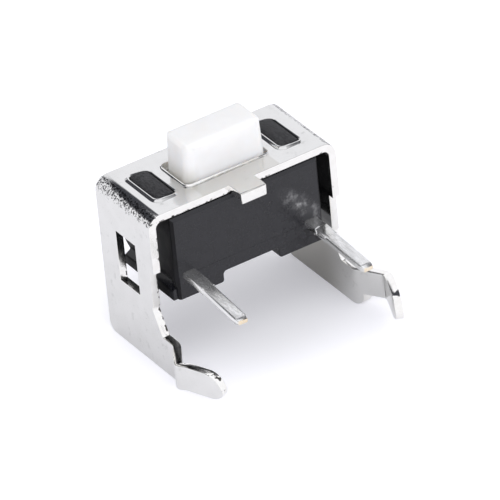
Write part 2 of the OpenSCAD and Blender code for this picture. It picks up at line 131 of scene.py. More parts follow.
class NodeSheet:
    """Adds nodes to a shader tree and wires them together."""

    # Places of the Mix node's colour sockets, whose names it uses more than once.
    first_colour: int = 6
    second_colour: int = 7
    mixed_colour: int = 2

    def __init__(self, tree: bpy.types.NodeTree) -> None:
        """Keeps the tree that the nodes go into."""
        self.tree = tree

    def add(self, kind: str, **settings: str) -> bpy.types.Node:
        """Adds a node.

        Args:
            kind: Its type, without the prefix ShaderNode.
            **settings: Properties to set on it.

        Returns:
            The new node.
        """
        node = self.tree.nodes.new("ShaderNode" + kind)
        for name, value in settings.items():
            setattr(node, name, value)
        return node

    def wire(self, source: Number | Colour, target: Socket) -> None:
        """Links a socket to an input, or sets the input to a constant.

        Args:
            source: An output socket, or the constant.
            target: The input.
        """
        if isinstance(source, Socket):
            self.tree.links.new(source, target)
        else:
            target.default_value = source

    def math(self, operation: str, first: Number, second: Number = 0.0) -> Socket:
        """Works out a number from one or two others.

        Args:
            operation: The Math node's operation.
            first: A socket or a constant.
            second: A socket or a constant.

        Returns:
            The result's socket.
        """
        node = self.add("Math", operation=operation)
        self.wire(first, node.inputs[0])
        self.wire(second, node.inputs[1])
        return node.outputs[0]

    def product(self, first: Number, *others: Number) -> Socket:
        """Multiplies numbers.

        Args:
            first: A socket or a constant.
            *others: More of them.

        Returns:
            The product's socket.
        """
        for other in others:
            first = self.math("MULTIPLY", first, other)
        return first

    def mix(self, factor: Number, first: Colour, second: Colour) -> Socket:
        """Mixes two colours.

        Args:
            factor: Share of the second colour.
            first: A socket or an RGB colour.
            second: A socket or an RGB colour.

        Returns:
            The mixed colour's socket.
        """
        node = self.add("Mix", data_type="RGBA")
        self.wire(factor, node.inputs[0])
        for colour, index in ((first, self.first_colour), (second, self.second_colour)):
            source = (*colour, 1.0) if isinstance(colour, tuple) else colour
            self.wire(source, node.inputs[index])
        return node.outputs[self.mixed_colour]

    def overlay(self, ground: Colour, *layers: tuple[Number, Colour]) -> Socket:
        """Lays colours over one another.

        Args:
            ground: The lowest colour.
            *layers: Share and colour of each layer, from the lowest up.

        Returns:
            The socket of the colour that shows.
        """
        for share, colour in layers:
            ground = self.mix(share, ground, colour)
        return ground

    def span(
        self, value: Number, low: Number, high: Number, to_low: float = 0.0, to_high: float = 1.0
    ) -> Socket:
        """Maps a number smoothly from one span to another.

        Args:
            value: The number's socket.
            low: Start of its span.
            high: End of its span.
            to_low: What the start becomes.
            to_high: What the end becomes.

        Returns:
            The mapped number's socket.
        """
        node = self.add("MapRange", interpolation_type="SMOOTHSTEP")
        for source, target in zip((value, low, high, to_low, to_high), node.inputs):
            self.wire(source, target)
        return node.outputs[0]

    def fall(self, value: Number, low: Number, high: Number) -> Socket:
        """Maps a number smoothly from 1 at the start of a span to 0 at its end."""
        return self.span(value, low, high, 1.0, 0.0)

    def noise(
        self, place: Socket, scale: Number, detail: float = 3.0, rough: float = 0.5
    ) -> Socket:
        """Samples fractal noise.

        Args:
            place: Socket of the point in millimetres.
            scale: Lumps per millimetre.
            detail: Octaves.
            rough: Share that each octave keeps.

        Returns:
            The noise's value socket.
        """
        node = self.add("TexNoise")
        self.wire(place, node.inputs["Vector"])
        self.wire(scale, node.inputs["Scale"])
        self.wire(detail, node.inputs["Detail"])
        self.wire(rough, node.inputs["Roughness"])
        return node.outputs["Fac"]

    def millimetres(self, stretch: Xyz = (1.0, 1.0, 1.0)) -> Socket:
        """Gives the point on the piece in millimetres.

        Args:
            stretch: Factor along each axis, for a pattern that runs with one of them.

        Returns:
            The point's socket.
        """
        place = self.add("TexCoord")
        node = self.add("Mapping")
        self.wire(place.outputs["Object"], node.inputs["Vector"])
        self.wire(tuple(factor / MM for factor in stretch), node.inputs["Scale"])
        return node.outputs["Vector"]

    def axes(self, place: Socket) -> tuple[Socket, ...]:
        """Splits a point into its three coordinates.

        Args:
            place: The point's socket.

        Returns:
            Sockets of X, Y and Z.
        """
        node = self.add("SeparateXYZ")
        self.wire(place, node.inputs[0])
        return tuple(node.outputs)

    def group(self, made: bpy.types.NodeTree, **inputs: Number) -> Sockets:
        """Places a node group.

        Args:
            made: The group.
            **inputs: Values or sockets by input name.

        Returns:
            The group's outputs.
        """
        node = self.add("Group")
        node.node_tree = made
        for name, value in inputs.items():
            self.wire(value, node.inputs[name])
        return node.outputs


class EffectLibrary:
    """The effects that several finishes share, each built once as a node group."""

    # Relief: its slow waves, and its finer grain in so many lumps for each wave.
    slow_detail: float = 2.0
    fine_ratio: float = 6.0
    fine_detail: float = 4.0
    fine_rough: float = 0.65
    patch_span: Span = (0.35, 0.65)
    fine_span: Span = (0.4, 0.6)
    # Flecks: where the noise starts to show one, and how far the amount lowers that.
    fleck_rough: float = 0.6
    fleck_start: float = 0.72
    fleck_drop: float = 0.3
    fleck_edge: float = 0.06

    def __init__(self) -> None:
        """Builds the groups."""
        self.micro_relief = self._micro_relief()
        self.flecks = self._flecks()
        self.band = self._band()

    @staticmethod
    def _new(
        name: str, inputs: dict[str, str], outputs: dict[str, str]
    ) -> tuple[bpy.types.NodeTree, NodeSheet, Sockets, Sockets]:
        """Makes a group with its sockets.

        Args:
            name: The group's name.
            inputs: Socket type by input name.
            outputs: Socket type by output name.

        Returns:
            The group, its sheet, the sockets that it is given and those that it fills.
        """
        tree = bpy.data.node_groups.new(name, "ShaderNodeTree")
        for label, kind in inputs.items():
            tree.interface.new_socket(label, in_out="INPUT", socket_type="NodeSocket" + kind)
        for label, kind in outputs.items():
            tree.interface.new_socket(label, in_out="OUTPUT", socket_type="NodeSocket" + kind)
        given = tree.nodes.new("NodeGroupInput").outputs
        made = tree.nodes.new("NodeGroupOutput").inputs
        return tree, NodeSheet(tree), given, made

    def _micro_relief(self) -> bpy.types.NodeTree:
        """Builds the slow waviness and fine grain of a rolled or moulded face.

        Returns:
            The group.
        """
        tree, sheet, given, made = self._new(
            "micro_relief",
            {"Place": "Vector", "Scale": "Float", "Grain": "Float"},
            {"Height": "Float", "Patches": "Float", "Fine": "Float"},
        )
        fine_scale = sheet.product(given["Scale"], self.fine_ratio)
        slow = sheet.noise(given["Place"], given["Scale"], self.slow_detail)
        fine = sheet.noise(given["Place"], fine_scale, self.fine_detail, self.fine_rough)
        grain = sheet.product(fine, given["Grain"])
        sheet.wire(sheet.math("ADD", slow, grain), made["Height"])
        sheet.wire(sheet.span(slow, *self.patch_span), made["Patches"])
        sheet.wire(sheet.span(fine, *self.fine_span), made["Fine"])
        return tree

    def _flecks(self) -> bpy.types.NodeTree:
        """Builds small irregular specks, where plating is stretched, scuffed or stained.

        Returns:
            The group.
        """
        tree, sheet, given, made = self._new(
            "flecks",
            {"Place": "Vector", "Scale": "Float", "Amount": "Float"},
            {"Mask": "Float"},
        )
        lump = sheet.noise(given["Place"], given["Scale"], rough=self.fleck_rough)
        drop = sheet.product(given["Amount"], self.fleck_drop)
        start = sheet.math("SUBTRACT", self.fleck_start, drop)
        end = sheet.math("ADD", start, self.fleck_edge)
        sheet.wire(sheet.span(lump, start, end), made["Mask"])
        return tree

    def _band(self) -> bpy.types.NodeTree:
        """Builds a mask that is 1 between two values and fades over a soft edge.

        Returns:
            The group.
        """
        tree, sheet, given, made = self._new(
            "band",
            {"Value": "Float", "Low": "Float", "High": "Float", "Soft": "Float"},
            {"Mask": "Float"},
        )
        value, soft = given["Value"], given["Soft"]
        low, high = (
            [sheet.math(operation, given[side], soft) for operation in ("SUBTRACT", "ADD")]
            for side in ("Low", "High")
        )
        sheet.wire(sheet.product(sheet.span(value, *low), sheet.fall(value, *high)), made["Mask"])
        return tree


def blank_material(name: str) -> tuple[bpy.types.Material, NodeSheet, bpy.types.Node]:
    """Makes a material with a plain Principled shader.

    Args:
        name: The material's name.

    Returns:
        The material, the sheet to add nodes with and the shader.
    """
    material = bpy.data.materials.new(name)
    material.use_nodes = True
    return material, NodeSheet(material.node_tree), material.node_tree.nodes["Principled BSDF"]


@dataclass(frozen=True)
class Skin:
    """Fine relief of a surface, its roughness, and how much rougher its rough spots are.

    The scale counts lumps per millimetre, and the grain is the share of the finer relief.
    """

    scale: float
    grain: float
    depth_mm: float
    roughness: float
    spread: float


@dataclass(frozen=True)
class Coat:
    """A material in the making, with the point that it shades in millimetres."""

    material: bpy.types.Material
    sheet: NodeSheet
    shader: bpy.types.Node
    relief: Sockets
    place: Socket
    x: Socket
    y: Socket
    z: Socket

    @property
    def across(self) -> Socket:
        """Distance of the point from the middle plane."""
        return self.sheet.math("ABSOLUTE", self.x)


@dataclass(frozen=True)
class Finish:
    """What every finish has: a name, the shared effects and a skin."""

    name: str
    effects: EffectLibrary
    skin: Skin

    def start(self, stretch: Xyz = (1.0, 1.0, 1.0)) -> Coat:
        """Makes a plain material with the relief of its skin.

        Args:
            stretch: Factor along each axis, for a relief that runs with one of them.

        Returns:
            The material in the making.
        """
        material, sheet, shader = blank_material(self.name)
        along, place = sheet.millimetres(stretch), sheet.millimetres()
        relief = sheet.group(
            self.effects.micro_relief, Place=along, Scale=self.skin.scale, Grain=self.skin.grain
        )
        return Coat(material, sheet, shader, relief, place, *sheet.axes(place))

    def settle(
        self,
        coat: Coat,
        colour: Socket,
        rough: Socket,
        height: Socket,
        fixed: dict[str, float | Rgb],
    ) -> bpy.types.Material:
        """Wires what the finish has worked out into its shader.

        Args:
            coat: The material in the making.
            colour: Its colour.
            rough: Mask of its rougher spots.
            height: Height of its relief, about 0 to 1.
            fixed: The shader's other inputs by name.

        Returns:
            The material.
        """
        sheet, skin = coat.sheet, self.skin
        bump = sheet.add("Bump")
        sheet.wire(skin.depth_mm * MM, bump.inputs["Distance"])
        sheet.wire(height, bump.inputs["Height"])
        roughest = skin.roughness + skin.spread
        inputs = {
            "Base Color": colour,
            "Roughness": sheet.span(rough, 0.0, 1.0, skin.roughness, roughest),
            "Normal": bump.outputs["Normal"],
            **fixed,
        }
        for name, value in inputs.items():
            sheet.wire(value, coat.shader.inputs[name])
        return coat.material


@dataclass(frozen=True, kw_only=True)
class TinPlate(Finish):
    """Bright tin plate on the broad faces of the bracket, stretched at its folds."""

    fold_x: float
    fold_z: float
    rear_y: float
    leg_x: float
    skin: Skin = Skin(scale=1.6, grain=0.25, depth_mm=0.0012, roughness=0.10, spread=0.05)
    colour: Rgb = (0.80, 0.797, 0.787)
    dull_colour: Rgb = (0.74, 0.737, 0.725)
    dull_share: float = 0.4
    # Dark specks: on the folds partly a painted reflection of the tent's dark opening.
    speck_colour: Rgb = (0.06, 0.06, 0.064)
    speck_share: float = 0.95
    speck_scale: float = 14.0
    scuff_colour: Rgb = (0.62, 0.62, 0.61)
    scuff_share: float = 0.5
    scuff_scale: float = 3.2
    scuff_amount: float = 0.3
    # Stretched folds, whose dark specks are partly stretched plating and partly a painted
    # reflection of the tent's dark opening, and darker specks along the rear edge.
    peel_mm: float = 0.008
    strain_start: float = 0.1
    strain_reach: float = 0.75
    strain_soft: float = 0.17
    strain_share: float = 0.8
    rear_reach: float = 0.05
    rear_share: float = 0.5
    # Painted reflection of the button's cap on the strip of plate before its window.
    cap_reflection_colour: Rgb = (0.64, 0.625, 0.585)
    cap_reflection_share: float = 0.6
    window_x: float = 1.6
    window_front: float = 0.95
    window_soft: float = 0.05
    above_fold: Span = (0.3, 0.4)
    # Painted shade on the inner faces of the legs, darker towards the back, and near-black painted
    # shade on their part beside the housing.
    inner_shade_colour: Rgb = (0.50, 0.49, 0.465)
    inner_shade_y: Span = (-0.7, 1.3)
    deep_shade_colour: Rgb = (0.12, 0.12, 0.12)
    deep_shade_y: Span = (0.0, 0.3)
    deep_shade_z: Span = (2.2, 2.9)

    def material(self) -> bpy.types.Material:
        """Builds the material.

        Returns:
            The material.
        """
        coat = self.start()
        sheet, place = coat.sheet, coat.place
        flecks = self.effects.flecks
        strain = self._strain(coat)
        rear = sheet.span(coat.y, self.rear_y - self.rear_reach, self.rear_y)
        speck_amount = sheet.math("MAXIMUM", strain, sheet.product(rear, self.rear_share))
        specks = sheet.group(flecks, Place=place, Scale=self.speck_scale, Amount=speck_amount)
        scuffs = sheet.group(flecks, Place=place, Scale=self.scuff_scale, Amount=self.scuff_amount)
        inside, deep_shade = self._inner_leg_shade(coat)
        colour = sheet.overlay(
            self.colour,
            (sheet.product(coat.relief["Patches"], self.dull_share), self.dull_colour),
            (sheet.product(scuffs["Mask"], self.scuff_share), self.scuff_colour),
            # Painted shade: the legs' inner faces darker towards the back, near-black beside the
            # housing.
            (inside, self.inner_shade_colour),
            (deep_shade, self.deep_shade_colour),
            # Painted reflection of the cap on the plate before the window.
            (self._cap_reflection(coat), self.cap_reflection_colour),
            # Dark specks on the folds, partly a painted reflection of the tent's dark opening, and
            # along the rear edge.
            (sheet.product(specks["Mask"], self.speck_share), self.speck_colour),
        )
        peel = sheet.product(sheet.noise(place, self.speck_scale), strain)
        peel = sheet.product(peel, self.peel_mm / self.skin.depth_mm)
        height = sheet.math("ADD", coat.relief["Height"], peel)
        return self.settle(coat, colour, coat.relief["Patches"], height, {"Metallic": 1.0})

    def _inner_leg_shade(self, coat: Coat) -> tuple[Socket, Socket]:
        """Masks the painted shade on the legs' inner faces, and the darker painted shade on their
        part beside the housing.

        Args:
            coat: The material in the making.

        Returns:
            The socket of the whole mask and that of the part beside the housing.
        """
        sheet = coat.sheet
        inner = sheet.fall(coat.across, self.leg_x - HAIR, self.leg_x + HAIR)
        below = sheet.fall(coat.z, self.fold_z - self.strain_start, self.fold_z)
        on_leg = sheet.product(inner, below)
        inside = sheet.product(on_leg, sheet.span(coat.y, *self.inner_shade_y))
        beside = sheet.product(on_leg, sheet.span(coat.z, *self.deep_shade_z))
        return inside, sheet.product(beside, sheet.span(coat.y, *self.deep_shade_y))

    def _cap_reflection(self, coat: Coat) -> Socket:
        """Masks the painted reflection of the button's cap on the strip of plate between the
        button's window and the front edge.

        Args:
            coat: The material in the making.

        Returns:
            The mask's socket.
        """
        sheet, soft = coat.sheet, self.window_soft
        beside = sheet.fall(coat.across, self.window_x - soft, self.window_x + soft)
        before = sheet.fall(coat.y, self.window_front - soft, self.window_front)
        above = sheet.span(coat.z, *(self.fold_z + rise for rise in self.above_fold))
        return sheet.product(beside, before, above, self.cap_reflection_share)

    def _strain(self, coat: Coat) -> Socket:
        """Masks the lower half of each fold, where the plating is stretched most.

        Args:
            coat: The material in the making.

        Returns:
            The mask's socket.
        """
        sheet, start = coat.sheet, self.strain_start
        ends = {"Low": self.fold_z + start, "High": self.fold_z + self.strain_reach}
        on_fold = sheet.group(self.effects.band, Value=coat.z, Soft=self.strain_soft, **ends)
        outside = sheet.span(coat.across, self.fold_x + start, self.fold_x + 2 * start)
        return sheet.product(on_fold["Mask"], outside, self.strain_share)


@dataclass(frozen=True, kw_only=True)
class ShearedEdge(Finish):
    """Cut edges of the sheet: burnished, with faint drag marks, slightly warm."""

    plate_z: float
    leg_x: float
    skin: Skin = Skin(scale=4.0, grain=0.5, depth_mm=0.003, roughness=0.08, spread=0.07)
    colour: Rgb = (0.965, 0.955, 0.93)
    dull_colour: Rgb = (0.88, 0.86, 0.82)
    dull_share: float = 0.35
    # Dark bites along the border that the punch tore, partly torn metal and partly painted shade
    # under the cut, fainter on the right; and dark flecks low at the front of the feet.
    tear_and_shade_colour: Rgb = (0.07, 0.065, 0.06)
    tear_scale: float = 5.0
    tear_reach: float = 0.075
    tear_share: float = 0.7
    tear_right: float = 0.3
    behind_tab: Span = (-0.3, -0.2)
    foot_dark_share: float = 0.7
    foot_right: float = 0.25
    foot_x: Span = (-1.0, 1.0)
    foot_y: Span = (-0.9, -0.2)
    foot_z: Span = (2.0, 3.0)

    def material(self) -> bpy.types.Material:
        """Builds the material.

        Returns:
            The material.
        """
        coat = self.start()
        sheet, patches = coat.sheet, coat.relief["Patches"]
        tear_and_shade = self._tear_and_shade_border(coat)
        bites = sheet.group(
            self.effects.flecks, Place=coat.place, Scale=self.tear_scale, Amount=tear_and_shade
        )
        colour = sheet.overlay(
            self.colour,
            (sheet.product(patches, self.dull_share), self.dull_colour),
            # Dark bites: partly torn metal, partly painted shade under the cut edge.
            (bites["Mask"], self.tear_and_shade_colour),
        )
        return self.settle(coat, colour, patches, coat.relief["Height"], {"Metallic": 1.0})

    def _tear_and_shade_border(self, coat: Coat) -> Socket:
        """Masks the inner border of the cut, where the punch tore the sheet and painted shade
        darkens it, and the feet low at the front.

        Args:
            coat: The material in the making.

        Returns:
            The mask's socket.
        """
        sheet, reach = coat.sheet, self.tear_reach
        plate, leg = (
            sheet.group(
                self.effects.band, Soft=reach / 2, Value=value, Low=cut - reach, High=cut + reach
            )["Mask"]
            for value, cut in ((coat.z, self.plate_z), (coat.across, self.leg_x))
        )
        border = sheet.product(
            sheet.math("MAXIMUM", plate, leg),
            sheet.span(coat.y, *self.behind_tab),
            sheet.span(coat.x, 0.0, self.leg_x, 1.0, self.tear_right),
        )
        foot = sheet.product(
            sheet.span(coat.y, *self.foot_y, self.foot_dark_share, 0.0),
            sheet.fall(coat.z, *self.foot_z),
            sheet.span(coat.x, *self.foot_x, 1.0, self.foot_right),
        )
        return sheet.product(sheet.math("MAXIMUM", border, foot), self.tear_share)


@dataclass(frozen=True, kw_only=True)
class BlackMoulding(Finish):
    """Semi-gloss black plastic with faint flow patches and a painted sheen on its front near the
    right end.
    """

    skin: Skin = Skin(scale=2.2, grain=0.6, depth_mm=0.0012, roughness=0.24, spread=0.08)
    colour: Rgb = (0.0075, 0.0075, 0.011)
    dull_colour: Rgb = (0.0135, 0.0135, 0.018)
    dull_share: float = 0.5
    shine: float = 0.5
    # Painted sheen, a grey haze standing in for light reflected on the front face: its middle, half
    # its length and height, and its clouds.
    sheen_middle: Xyz = (2.2, 0.0, 4.42)
    sheen_size: Xyz = (1.35, 0.6, 0.42)
    sheen_tilt: float = math.radians(47)
    sheen_colour: Rgb = (0.30, 0.30, 0.31)
    sheen_share: float = 1.0
    sheen_fade: float = 1.1
    sheen_base: float = 0.12
    cloud_scale: float = 3.0
    cloud_detail: float = 5.0
    cloud_rough: float = 0.65
    cloud_span: Span = (0.45, 0.7)

    def material(self) -> bpy.types.Material:
        """Builds the material.

        Returns:
            The material.
        """
        coat = self.start()
        sheet, patches = coat.sheet, coat.relief["Patches"]
        colour = sheet.overlay(
            self.colour,
            (sheet.product(patches, self.dull_share), self.dull_colour),
            # Painted sheen on the front face.
            (self._painted_sheen(coat), self.sheen_colour),
        )
        fixed = {"Specular IOR Level": self.shine}
        return self.settle(coat, colour, patches, coat.relief["Height"], fixed)

    def _painted_sheen(self, coat: Coat) -> Socket:
        """Masks the painted sheen, a cloudy grey haze that stands in for light reflected on the
        front face.

        Args:
            coat: The material in the making.

        Returns:
            The mask's socket.
        """
        sheet = coat.sheet
        to_sheen = sheet.add("Mapping", vector_type="TEXTURE")
        sheet.wire(coat.place, to_sheen.inputs["Vector"])
        sheet.wire(self.sheen_middle, to_sheen.inputs["Location"])
        sheet.wire((0.0, self.sheen_tilt, 0.0), to_sheen.inputs["Rotation"])
        sheet.wire(self.sheen_size, to_sheen.inputs["Scale"])
        length = sheet.add("VectorMath", operation="LENGTH")
        sheet.wire(to_sheen.outputs["Vector"], length.inputs[0])
        cloud = sheet.noise(coat.place, self.cloud_scale, self.cloud_detail, self.cloud_rough)
        glow = sheet.fall(length.outputs["Value"], 0.0, self.sheen_fade)
        streaks = sheet.math("ADD", self.sheen_base, sheet.span(cloud, *self.cloud_span))
        return sheet.product(glow, streaks, self.sheen_share)


@dataclass(frozen=True, kw_only=True)
class StakeTop(Finish):
    """Black plastic where a hot tool has flattened it: dull and slightly rough."""

    skin: Skin = Skin(scale=3.0, grain=1.2, depth_mm=0.03, roughness=0.42, spread=0.12)
    colour: Rgb = (0.006, 0.006, 0.008)
    rubbed_colour: Rgb = (0.055, 0.055, 0.06)
    shine: float = 0.26

    def material(self) -> bpy.types.Material:
        """Builds the material.

        Returns:
            The material.
        """
        coat = self.start()
        fine = coat.relief["Fine"]
        colour = coat.sheet.mix(fine, self.colour, self.rubbed_colour)
        fixed = {"Specular IOR Level": self.shine}
        return self.settle(coat, colour, fine, coat.relief["Height"], fixed)


@dataclass(frozen=True, kw_only=True)
class WhiteMoulding(Finish):
    """Milky white plastic with a satin skin that lets light in a little way."""

    skin: Skin = Skin(scale=1.4, grain=0.8, depth_mm=0.0012, roughness=0.5, spread=0.06)
    colour: Rgb = (0.895, 0.895, 0.915)
    shade_colour: Rgb = (0.86, 0.855, 0.865)
    shade_share: float = 0.5
    # Painted shade low on the left face, and light that goes in and comes out again.
    left_shade_colour: Rgb = (0.66, 0.64, 0.60)
    left_shade: float = 0.8
    left_shade_height: float = 0.8
    left_shade_x: Span = (-1.45, -1.0)
    root_z: float = 6.3
    milk: float = 0.8
    milk_mm: float = 0.7
    milk_colour: Rgb = (1.0, 0.92, 0.85)
    shine: float = 0.35

    def material(self) -> bpy.types.Material:
        """Builds the material.

        Returns:
            The material.
        """
        coat = self.start()
        sheet, patches = coat.sheet, coat.relief["Patches"]
        low = sheet.span(coat.z, self.root_z, self.root_z + self.left_shade_height, self.left_shade, 0.0)
        colour = sheet.overlay(
            self.colour,
            (sheet.product(patches, self.shade_share), self.shade_colour),
            # Painted shade: the cap's left face darker towards its root.
            (sheet.product(low, sheet.fall(coat.x, *self.left_shade_x)), self.left_shade_colour),
        )
        fixed = {
            "Subsurface Weight": self.milk,
            "Subsurface Scale": self.milk_mm * MM,
            "Subsurface Radius": self.milk_colour,
            "Specular IOR Level": self.shine,
        }
        return self.settle(coat, colour, patches, coat.relief["Height"], fixed)


@dataclass(frozen=True, kw_only=True)
class PinPlate(Finish):
    """Tin plate on a pin, drawn along its length, with bare brass at the cut end."""

    tip_y: float
    skin: Skin = Skin(scale=4.0, grain=0.25, depth_mm=0.001, roughness=0.17, spread=0.1)
    drawn: Xyz = (1.0, 0.2, 1.0)
    colour: Rgb = (0.90, 0.90, 0.90)
    streak_colour: Rgb = (0.66, 0.66, 0.66)
    streak_share: float = 0.6
    brass_colour: Rgb = (0.95, 0.74, 0.44)
    tip_reach: float = 0.16
    ragged_scale: float = 9.0
    ragged_mm: float = 0.12
    bareness: float = 0.92

    def material(self) -> bpy.types.Material:
        """Builds the material.

        Returns:
            The material.
        """
        coat = self.start(self.drawn)
        sheet, relief = coat.sheet, coat.relief
        ragged = sheet.product(sheet.noise(coat.place, self.ragged_scale), self.ragged_mm)
        from_tip = sheet.math("ADD", coat.y, ragged)
        colour = sheet.overlay(
            self.colour,
            (sheet.product(relief["Patches"], self.streak_share), self.streak_colour),
            (sheet.fall(from_tip, self.tip_y, self.tip_y + self.tip_reach), self.brass_colour),
        )
        fixed = {"Metallic": self.bareness}
        return self.settle(coat, colour, relief["Fine"], relief["Height"], fixed)


@dataclass(frozen=True, kw_only=True)
class SpringStrip(Finish):
    """Bright rolled spring steel of the snap dome."""

    skin: Skin = Skin(scale=8.0, grain=0.5, depth_mm=0.001, roughness=0.2, spread=0.1)
    rolled: Xyz = (0.1, 1.0, 1.0)
    colour: Rgb = (0.72, 0.71, 0.69)
    rolled_colour: Rgb = (0.58, 0.57, 0.55)

    def material(self) -> bpy.types.Material:
        """Builds the material.

        Returns:
            The material.
        """
        coat = self.start(self.rolled)
        patches = coat.relief["Patches"]
        colour = coat.sheet.mix(patches, self.colour, self.rolled_colour)
        return self.settle(coat, colour, patches, coat.relief["Height"], {"Metallic": 1.0})


class Workpiece:
    """A merged copy of one CAD node, worked in millimetres."""

    weld: float = 0.0005
    flat_angle: float = math.radians(0.4)
    crease_angle: float = math.radians(38)
    round_profile: float = 0.5
    lip_segments: int = 3
    lip_margin: float = 0.01
    shading_weight: int = 100

    def __init__(self, node: str) -> None:
        """Copies the node's mesh and merges its loose triangles into whole faces.

        Args:
            node: Name of the CAD node.
        """
        self.node = node
        self.mesh = bmesh.new()
        self.mesh.from_mesh(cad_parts[node].data)
        bmesh.ops.scale(self.mesh, vec=Vector((1, 1, 1)) / MM, verts=self.mesh.verts)
        bmesh.ops.remove_doubles(self.mesh, verts=self.mesh.verts, dist=self.weld)
        bmesh.ops.dissolve_limit(
            self.mesh,
            angle_limit=self.flat_angle,
            use_dissolve_boundaries=False,
            verts=self.mesh.verts,
            edges=self.mesh.edges,
        )

    def sharp_edges(self, test: EdgeTest, least_deg: float = 30) -> list[bmesh.types.BMEdge]:
        """Finds the sharp edges whose two ends both pass a test.

        Args:
            test: Takes an end's place.
            least_deg: Smallest angle between the edge's two faces.

        Returns:
            The edges.
        """
        least = math.radians(least_deg)
        return [
            edge
            for edge in self.mesh.edges
            if len(edge.link_faces) == 2
            and edge.calc_face_angle() > least
            and all(test(vert.co) for vert in edge.verts)
        ]

    def break_edges(self, edges: list[bmesh.types.BMEdge], width: float, segments: int) -> None:
        """Rounds edges.

        Args:
            edges: The edges.
            width: Width of the rounding on each face.
            segments: Facets across it.
        """
        bmesh.ops.bevel(
            self.mesh,
            geom=edges,
            offset=width,
            offset_type="OFFSET",
            segments=segments,
            profile=self.round_profile,
            affect="EDGES",
            clamp_overlap=False,
            material=-1,
        )

    def slice_y(self, y: float, below_z: float) -> None:
        """Cuts a loop of edges across the faces below a height.

        Args:
            y: How far back the loop goes.
            below_z: That height.
        """
        faces = [face for face in self.mesh.faces if face.calc_center_median().z < below_z]
        edges = {edge for face in faces for edge in face.edges}
        verts = {vert for face in faces for vert in face.verts}
        bmesh.ops.bisect_plane(
            self.mesh,
            geom=[*verts, *edges, *faces],
            dist=self.weld,
            plane_co=Vector((0, y, 0)),
            plane_no=Vector((0, 1, 0)),
        )

    def raise_lip(
        self,
        edges: list[bmesh.types.BMEdge],
        width: float,
        height: float,
        share: Callable[[Vector], float],
    ) -> None:
        """Raises a rounded lip along the upper edge of a punched window.

        Args:
            edges: The window's upper edges.
            width: Width of the lip.
            height: Full height of the lip above the sheet.
            share: Takes a point and returns the share of the height that the lip has there.
        """
        top = edges[0].verts[0].co.z
        before = set(self.mesh.verts)
        self.break_edges(edges, width, self.lip_segments)
        for vert in self.mesh.verts:
            depth = (top - vert.co.z) / width
            if vert not in before and self.lip_margin < depth < 1 + self.lip_margin:
                rise = height * share(vert.co)
                vert.co.z = top + rise * math.sqrt(max(0.0, 1.0 - depth * depth))

    def paint(self, test: FaceTest, index: int) -> None:
        """Gives faces another of the piece's finishes.

        Args:
            test: Takes a face's middle and its normal.
            index: Place of the finish in the piece's list.
        """
        self.mesh.normal_update()
        for face in self.mesh.faces:
            if test(face.calc_center_median(), face.normal):
                face.material_index = index

    def finish(
        self, name: str, body: Body, slot: Slot, finishes: Iterable[Finish]
    ) -> bpy.types.Object:
        """Makes the piece that stands for the node.

        Args:
            name: The piece's name.
            body: The body that it rides on.
            slot: The record's slot for its finish; not used.
            finishes: Its finishes, in the order that paint() counts them.

        Returns:
            The piece.
        """
        bmesh.ops.scale(self.mesh, vec=Vector((MM, MM, MM)), verts=self.mesh.verts)
        data = bpy.data.meshes.new(name)
        self.mesh.to_mesh(data)
        self.mesh.free()
        data.shade_smooth()
        data.set_sharp_from_angle(angle=self.crease_angle)
        for finish in finishes:
            data.materials.append(finish.material())
        piece = put_in_scene(name, data)
        weighted = piece.modifiers.new("even_shading", "WEIGHTED_NORMAL")
        weighted.keep_sharp = True
        weighted.weight = self.shading_weight
        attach(piece, body.value)
        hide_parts(self.node)
        return piece


@dataclass(frozen=True)
class Window:
    """A window punched through the plate, in millimetres."""

    x: float
    y: float
    half_width: float
    half_depth: float
    margin: float = 0.05
    # Shares of a full lip: the least, that in the middle, and what is lost right and back.
    least_burr: float = 0.06
    middle_burr: float = 0.55
    burr_lost_right: float = 0.5
    burr_lost_back: float = 0.45

    def holds(self, co: Vector) -> bool:
        """Tells whether a point lies in the window or on its rim."""
        across = abs(abs(co.x) - self.x) < self.half_width + self.margin
        return across and abs(co.y - self.y) < self.half_depth + self.margin

    def burr_share(self, co: Vector) -> float:
        """Tells how much of its full height the window's lip has at a point.

        The punch leaned a little, so the lip is high at the window's left and front.

        Args:
            co: The point.

        Returns:
            The share, from 0 to 1.
        """
        middle_x = math.copysign(self.x, co.x) if self.x else 0.0
        right = (co.x - middle_x) / self.half_width
        back = (co.y - self.y) / self.half_depth
        share = self.middle_burr - self.burr_lost_right * right - self.burr_lost_back * back
        return min(1.0, max(self.least_burr, share))


